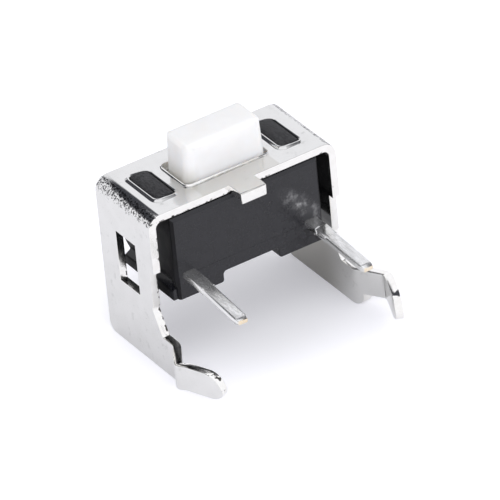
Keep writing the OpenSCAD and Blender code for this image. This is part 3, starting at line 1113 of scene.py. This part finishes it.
@dataclass(frozen=True)
class Bracket:
    """Folded sheet bracket: plate, legs, snap feet and tab."""

    effects: EffectLibrary
    sheet: float = 0.3
    fold_inner: float = 0.22
    half_width: float = 3.9
    edge_break: float = 0.018
    edge_segments: int = 2
    button_window: Window = Window(x=0.0, y=1.8885, half_width=1.72, half_depth=0.89)
    stake_window: Window = Window(x=2.59, y=1.9485, half_width=0.41, half_depth=0.99)
    # Width and height of each window's lip.
    button_lip: tuple[float, float] = (0.08, 0.09)
    stake_lip: tuple[float, float] = (0.17, 0.07)
    foot_slant: float = 0.40
    foot_slant_reach: float = 0.667
    foot_slant_steps: int = 4
    foot_slant_curve: float = 1.5
    foot_height: float = 1.0
    foot_cut_below: float = 2.0
    tab_burr: float = 0.11
    tab_burr_reach: float = 0.1
    least_facing: float = 0.6
    least_leg_facing: float = 0.7

    def build(self) -> bpy.types.Object:
        """Builds and dresses the bracket.

        Returns:
            The piece.
        """
        _, high = node_box("bracket")
        work = Workpiece("bracket")
        inner_x = self.half_width - self.sheet
        fold_x = inner_x - self.fold_inner
        fold_z = high.z - self.fold_inner - self.sheet
        self._slant_feet(work)
        self._hang_tab(work, high.z - self.sheet)
        self._dress_windows(work, high.z)
        self._break_rest(work, high.z)
        self._paint_edges(work, high.z, fold_x, fold_z)
        finishes = (
            TinPlate(
                "tin_plate",
                self.effects,
                fold_x=fold_x,
                fold_z=fold_z,
                rear_y=high.y,
                leg_x=self.half_width - self.sheet / 2,
            ),
            ShearedEdge("sheared_edge", self.effects, plate_z=high.z - self.sheet, leg_x=inner_x),
        )
        return work.finish("sheet_bracket", Body.FRAME, Slot.STEEL, finishes)

    def _slant_feet(self, work: Workpiece) -> None:
        """Lowers the upper edge of each snap foot toward its end.

        Args:
            work: The bracket's copy.
        """
        end_y = min(vert.co.y for vert in work.mesh.verts)
        low_z = min(vert.co.z for vert in work.mesh.verts if vert.co.y < end_y + self.sheet)
        for step in range(self.foot_slant_steps):
            reach = self.foot_slant_reach * (1 - step / self.foot_slant_steps)
            work.slice_y(end_y + reach, self.foot_cut_below)
        for vert in work.mesh.verts:
            share = 1 - (vert.co.y - end_y) / self.foot_slant_reach
            if share > 0:
                height = (vert.co.z - low_z) / self.foot_height
                vert.co.z -= self.foot_slant * share**self.foot_slant_curve * height

    def _hang_tab(self, work: Workpiece, underside: float) -> None:
        """Drags the broken end of the tie-bar tab down a little.

        Args:
            work: The bracket's copy.
            underside: Height of the sheet's lower face.
        """
        above = [vert for vert in work.mesh.verts if vert.co.z > underside - HAIR]
        end_y = min(vert.co.y for vert in above)
        work.slice_y(end_y + self.tab_burr_reach, math.inf)
        for vert in work.mesh.verts:
            at_end = end_y - HAIR < vert.co.y < end_y + self.tab_burr_reach - HAIR
            if at_end and abs(vert.co.z - underside) < HAIR:
                vert.co.z -= self.tab_burr

    def _dress_windows(self, work: Workpiece, top: float) -> None:
        """Raises the lips that punching and staking leave round the plate's windows.

        Args:
            work: The bracket's copy.
            top: Height of the plate.
        """
        dressed = ((self.stake_window, self.stake_lip), (self.button_window, self.button_lip))
        for window, lip in dressed:
            rim = work.sharp_edges(lambda co: abs(co.z - top) < TOUCH and window.holds(co))
            work.raise_lip(rim, *lip, window.burr_share)

    def _break_rest(self, work: Workpiece, top: float) -> None:
        """Breaks every other sharp edge a little.

        Args:
            work: The bracket's copy.
            top: Height of the plate.
        """
        underside = top - self.sheet - HAIR

        def clear_of_windows(co: Vector) -> bool:
            """Tells whether a point is away from the plate's windows."""
            in_window = self.button_window.holds(co) or self.stake_window.holds(co)
            return co.z < underside or not in_window

        work.break_edges(work.sharp_edges(clear_of_windows), self.edge_break, self.edge_segments)

    def _paint_edges(self, work: Workpiece, top: float, fold_x: float, fold_z: float) -> None:
        """Gives the cut edges their own finish.

        Args:
            work: The bracket's copy.
            top: Height of the plate.
            fold_x: Distance from the middle at which the folds start.
            fold_z: Height at which they end.
        """
        underside = top - self.sheet - HAIR

        def sheared(middle: Vector, normal: Vector) -> bool:
            """Tells whether a face belongs to a cut edge.

            Args:
                middle: The face's middle.
                normal: Its normal.

            Returns:
                True if it does.
            """
            if middle.z > fold_z and abs(middle.x) > fold_x:
                return abs(normal.y) > self.least_facing
            if middle.z > underside:
                return abs(normal.z) < self.least_facing
            return abs(normal.x) < self.least_leg_facing

        work.paint(sheared, 1)


@dataclass(frozen=True)
class Housing:
    """Moulded housing with its two stakes."""

    effects: EffectLibrary
    edge_radius: float = 0.045
    stake_radius: float = 0.09
    segments: int = 3
    parting_z: float = 3.555
    parting_wear: float = 0.014
    parting_room: float = 0.14
    foot_z: float = 3.5
    foot_radius: float = 0.1
    least_along: float = 0.95
    plate_z: float = 6.0
    block_room: float = 0.06
    stake_room: float = 0.1
    stake_top_room: float = 0.2
    end_x: float = 2.8
    wedge_front: float = 0.4385
    wedge_x: float = 3.0
    wedge_top: float = 3.3
    wedge_reach: float = 0.3
    least_facing: float = 0.6
    end_skin: Skin = Skin(scale=2.2, grain=0.6, depth_mm=0.0012, roughness=0.5, spread=0.08)
    end_colour: Rgb = (0.004, 0.004, 0.005)
    end_shine: float = 0.2

    def build(self) -> bpy.types.Object:
        """Builds and dresses the housing.

        Returns:
            The piece.
        """
        work = Workpiece("housing")
        self._ease_front(work)
        feet = work.sharp_edges(lambda co: co.z < self.foot_z and abs(co.x) < self.end_x)
        along_y = [edge for edge in feet if self._runs_along_y(edge)]
        work.break_edges(along_y, self.foot_radius, self.segments)
        stake_rims = work.sharp_edges(lambda co: co.z > self.plate_z + self.stake_room)
        work.break_edges(stake_rims, self.stake_radius, self.segments)
        block = work.sharp_edges(self._on_block)
        work.break_edges(block, self.edge_radius, self.segments)
        work.paint(self._on_end, 2)
        work.paint(lambda middle, normal: middle.z > self.plate_z + self.stake_top_room, 1)
        finishes = (
            BlackMoulding("black_moulding", self.effects),
            StakeTop("stake_top", self.effects),
            BlackMoulding(
                "black_end",
                self.effects,
                skin=self.end_skin,
                colour=self.end_colour,
                shine=self.end_shine,
                sheen_share=0.0,
            ),
        )
        return work.finish("moulded_housing", Body.FRAME, Slot.BLACK, finishes)

    def _ease_front(self, work: Workpiece) -> None:
        """Wears down the parting line and runs the end wedges on to the front corners.

        Args:
            work: The housing's copy.
        """
        face_y = min(vert.co.y for vert in work.mesh.verts)
        for vert in work.mesh.verts:
            on_face = abs(vert.co.y - face_y) < TOUCH
            if on_face and vert.co.z < self.parting_z + TOUCH:
                vert.co.y += self.parting_wear
            at_wedge = abs(vert.co.x) > self.wedge_x and vert.co.z < self.wedge_top
            if at_wedge and abs(vert.co.y - self.wedge_front) < TOUCH:
                vert.co.y -= self.wedge_reach

    def _runs_along_y(self, edge: bmesh.types.BMEdge) -> bool:
        """Tells whether an edge runs from the front to the back."""
        start, end = (vert.co for vert in edge.verts)
        return abs(end.y - start.y) > self.least_along * (end - start).length

    def _on_end(self, middle: Vector, normal: Vector) -> bool:
        """Tells whether a face belongs to one of the dull ends."""
        return abs(middle.x) > self.end_x and abs(normal.x) > self.least_facing

    def _on_block(self, co: Vector) -> bool:
        """Tells whether a point is on the block, away from the stakes and the parting line."""
        off_parting_line = abs(co.z - self.parting_z) > self.parting_room
        return co.z < self.plate_z + self.block_room and off_parting_line


@dataclass(frozen=True)
class Button:
    """Button with its cap, flange and stem."""

    effects: EffectLibrary
    edge_radius: float = 0.05
    least_deg: float = 25
    segments: int = 3
    cap_half: float = 1.5
    cap_height: float = 1.5
    cap_root_z: float = 5.95
    extra_top: float = 0.06
    extra_root: float = 0.13
    extra_right: float = 0.04

    def build(self) -> bpy.types.Object:
        """Builds and dresses the button.

        Returns:
            The piece.
        """
        work = Workpiece("button")
        self._draft(work)
        edges = work.sharp_edges(lambda co: True, self.least_deg)
        work.break_edges(edges, self.edge_radius, self.segments)
        finishes = (WhiteMoulding("white_moulding", self.effects),)
        return work.finish("button_cap", Body.BUTTON, Slot.WHITE, finishes)

    def _draft(self, work: Workpiece) -> None:
        """Gives the cap's ends the draft that lets it leave its mould.

        Args:
            work: The button's copy.
        """
        top = max(vert.co.z for vert in work.mesh.verts)
        for vert in work.mesh.verts:
            if vert.co.z > self.cap_root_z and abs(vert.co.x) < self.cap_half + HAIR:
                depth = (top - vert.co.z) / self.cap_height
                extra = self.extra_top + (self.extra_root - self.extra_top) * depth
                right = self.extra_right if vert.co.x > 0 else 0.0
                vert.co.x *= 1 + (extra + right) / self.cap_half


@dataclass(frozen=True)
class SnapDome:
    """Snap dome on the contact floor; the real dome flattens as the button goes down, but this
    piece keeps its shape.
    """

    effects: EffectLibrary
    flattened: float = 0.2

    def build(self) -> bpy.types.Object:
        """Builds and dresses the dome.

        Returns:
            The piece.
        """
        work = Workpiece("contact_dome")
        finishes = (SpringStrip("spring_strip", self.effects),)
        piece = work.finish("snap_dome", Body.FRAME, Slot.SPRING, finishes)
        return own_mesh(piece)


@dataclass(frozen=True)
class Terminal:
    """One terminal: the pin outside and the strip inside the housing."""

    effects: EffectLibrary
    side: Side
    edge_radius: float = 0.03
    least_deg: float = 40
    segments: int = 3
    tip_depth: float = 0.3
    tip_extra: float = 0.12

    def build(self) -> bpy.types.Object:
        """Builds and dresses the terminal.

        Returns:
            The piece.
        """
        side = self.side.value
        node = "terminal_" + side
        low, _ = node_box(node)
        work = Workpiece(node)
        for vert in work.mesh.verts:
            if vert.co.y < low.y + self.tip_depth:
                vert.co.y -= self.tip_extra
        edges = work.sharp_edges(lambda co: True, self.least_deg)
        work.break_edges(edges, self.edge_radius, self.segments)
        tip_y = low.y - self.tip_extra
        finishes = (PinPlate("pin_plate_" + side, self.effects, tip_y=tip_y),)
        return work.finish("pin_terminal_" + side, Body.FRAME, Slot.BRASS, finishes)


@dataclass(frozen=True)
class Studio:
    """Pale floor in a white tent, whose dark openings the metal mirrors.

    Lengths are in metres, and the tent's edges are shares of a direction of length 1.
    """

    # Floor: what it adds to its light near the switch and far off.
    floor_half: float = 1.0
    floor_colour: Rgb = (0.87, 0.87, 0.90)
    glow_colour: Rgb = (0.95, 0.95, 1.05)
    mirrored_far: float = 0.14
    near_lift: float = 0.17
    far_lift: float = 0.40
    middle: Xyz = (0.0009, 0.0019, 0.0)
    near_reach: float = 0.0022
    far_reach: float = 0.0068
    # Tent and lamp.
    front_level: float = 1.45
    rear_level: float = 0.42
    bright: Rgb = (1.0, 1.005, 1.04)
    dark: Rgb = (0.06, 0.062, 0.072)
    key_watts: float = 0.065
    key_size: float = 0.18
    key_place: Xyz = (-0.03, 0.15, 0.20)
    # Edges of the tent's walls, roof and rear panel.
    right_x: Span = (0.24, 0.36)
    rear_panel_y: Span = (0.38, 0.46)
    rear_panel_top: Span = (0.78, 0.82)
    front_y: Span = (-0.2, -0.1)
    left_wall_top: Span = (0.38, 0.44)
    wall_top: Span = (0.555, 0.59)
    roof_z: Span = (0.88, 0.91)

    def build(self) -> None:
        """Builds the floor, the world and the lamp."""
        self._floor()
        self._world()
        self._lamp("key_lamp", Vector(self.key_place), self.key_size, self.key_watts)

    def _floor(self) -> None:
        """Builds the floor that the switch stands on, which glows to white away from it."""
        mesh = bmesh.new()
        bmesh.ops.create_grid(mesh, x_segments=1, y_segments=1, size=self.floor_half)
        data = bpy.data.meshes.new("floor")
        mesh.to_mesh(data)
        mesh.free()
        floor = put_in_scene("floor", data)
        material, sheet, shader = blank_material("pale_floor")
        inputs = {
            "Base Color": (*self.floor_colour, 1.0),
            "Roughness": 1.0,
            "Specular IOR Level": 0.0,
            "Emission Color": (*self.glow_colour, 1.0),
            "Emission Strength": self._floor_glow(sheet),
        }
        for name, value in inputs.items():
            sheet.wire(value, shader.inputs[name])
        data.materials.append(material)

    def _floor_glow(self, sheet: NodeSheet) -> Socket:
        """Works out how much the floor glows, for the camera and in the metal.

        Args:
            sheet: The floor's nodes.

        Returns:
            The socket of the glow's strength.
        """
        away = sheet.add("VectorMath", operation="DISTANCE")
        sheet.wire(sheet.add("TexCoord").outputs["Object"], away.inputs[0])
        sheet.wire(self.middle, away.inputs[1])
        spread = (away.outputs["Value"], self.near_reach, self.far_reach)
        lift = sheet.span(*spread, self.near_lift, self.far_lift)
        glow = sheet.span(*spread, 0.0, self.mirrored_far)
        rays = sheet.add("LightPath").outputs
        mirrored = sheet.math("MAXIMUM", rays["Is Glossy Ray"], rays["Is Transmission Ray"])
        shown = sheet.product(rays["Is Camera Ray"], lift)
        return sheet.math("MAXIMUM", shown, sheet.product(mirrored, glow))

    def _world(self) -> None:
        """Builds the tent: plain for soft light, white behind, and with its gaps where mirrored."""
        world = bpy.data.worlds.new("white_tent")
        world.use_nodes = True
        bpy.context.scene.world = world
        sheet = NodeSheet(world.node_tree)
        direction = sheet.axes(sheet.add("TexCoord").outputs["Generated"])
        backward = sheet.span(direction[1], -1.0, 1.0)
        front = (self.front_level,) * 3
        rear = (self.rear_level,) * 3
        plain = sheet.mix(backward, front, rear)
        mirrored = sheet.mix(self._gaps(sheet, *direction), self.bright, self.dark)
        rays = sheet.add("LightPath").outputs
        lit = sheet.mix(rays["Is Glossy Ray"], plain, mirrored)
        shown = sheet.mix(rays["Is Camera Ray"], lit, (1.0, 1.0, 1.0))
        sheet.wire(shown, world.node_tree.nodes["Background"].inputs["Color"])

    def _gaps(self, sheet: NodeSheet, x: Socket, y: Socket, z: Socket) -> Socket:
        """Masks the dark openings between the tent's walls, its roof panel and its rear panel.

        Args:
            sheet: The world's nodes.
            x: Socket of the direction's X.
            y: Socket of the direction's Y.
            z: Socket of the direction's Z.

        Returns:
            The mask's socket.
        """
        right = sheet.span(x, *self.right_x)
        behind = sheet.span(y, *self.rear_panel_y)
        in_front = sheet.fall(y, *self.front_y)
        rear_panel = sheet.product(right, behind, sheet.fall(z, *self.rear_panel_top))
        left = sheet.math("SUBTRACT", 1.0, right)
        above_left = sheet.product(sheet.span(z, *self.left_wall_top), left)
        above_walls = sheet.math("MAXIMUM", sheet.span(z, *self.wall_top), above_left)
        roof = sheet.math("MAXIMUM", sheet.span(z, *self.roof_z), in_front)
        panels = sheet.math("MAXIMUM", rear_panel, roof)
        return sheet.product(above_walls, sheet.math("SUBTRACT", 1.0, panels))

    @staticmethod
    def _lamp(name: str, place: Vector, size: float, watts: float) -> None:
        """Adds a square soft lamp that points at the switch.

        Args:
            name: The lamp's name.
            place: Where it hangs.
            size: Side of its panel.
            watts: Its power.
        """
        light = bpy.data.lights.new(name, "AREA")
        light.size = size
        light.energy = watts
        lamp = put_in_scene(name, light)
        lamp.location = place
        lamp.rotation_euler = (-place).to_track_quat("-Z", "Y").to_euler()
        lamp.visible_glossy = False


@dataclass(frozen=True)
class PhotoCamera:
    """Camera at the photograph's angle, far off and with a long lens.

    It hangs its distance, in metres, from the point that it aims at, in millimetres.
    """

    azimuth_deg: float = -30.03
    elevation_deg: float = 33.14
    roll_deg: float = -5.747
    distance: float = 0.279295
    aim: Xyz = (-0.10267, -0.11983, 3.55796)
    lens_mm: float = 576.155
    sensor_mm: float = 36.0
    clip: Span = (0.02, 3.0)

    def build(self) -> None:
        """Builds the camera and makes it the scene's."""
        azimuth = math.radians(self.azimuth_deg)
        elevation = math.radians(self.elevation_deg)
        forward = Vector(
            (
                -math.sin(azimuth) * math.cos(elevation),
                math.cos(azimuth) * math.cos(elevation),
                -math.sin(elevation),
            )
        )
        level_right = forward.cross(Vector((0, 0, 1))).normalized()
        level_up = level_right.cross(forward)
        roll = math.radians(self.roll_deg)
        right = level_right * math.cos(roll) + level_up * math.sin(roll)
        up = level_up * math.cos(roll) - level_right * math.sin(roll)
        turn = Matrix((right, up, -forward)).transposed().to_4x4()
        data = bpy.data.cameras.new("photo_camera")
        data.sensor_width = self.sensor_mm
        data.lens = self.lens_mm
        data.clip_start, data.clip_end = self.clip
        camera = put_in_scene("photo_camera", data)
        place = Vector(self.aim) * MM - forward * self.distance
        camera.matrix_world = Matrix.Translation(place) @ turn
        bpy.context.scene.camera = camera


def main() -> None:
    """Builds the pieces, the studio and the camera, and logs each piece's face count."""
    logging.basicConfig(level=logging.INFO, format="%(message)s")
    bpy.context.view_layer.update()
    effects = EffectLibrary()
    parts = (
        Bracket(effects),
        Housing(effects),
        Button(effects),
        SnapDome(effects),
        Terminal(effects, Side.LEFT),
        Terminal(effects, Side.RIGHT),
    )
    for part in parts:
        piece = part.build()
        LOG.info("built %s with %d faces", piece.name, len(piece.data.polygons))
    Studio().build()
    PhotoCamera().build()
    bpy.context.scene.view_settings.view_transform = "Standard"


if __name__ == "__main__":
    main()
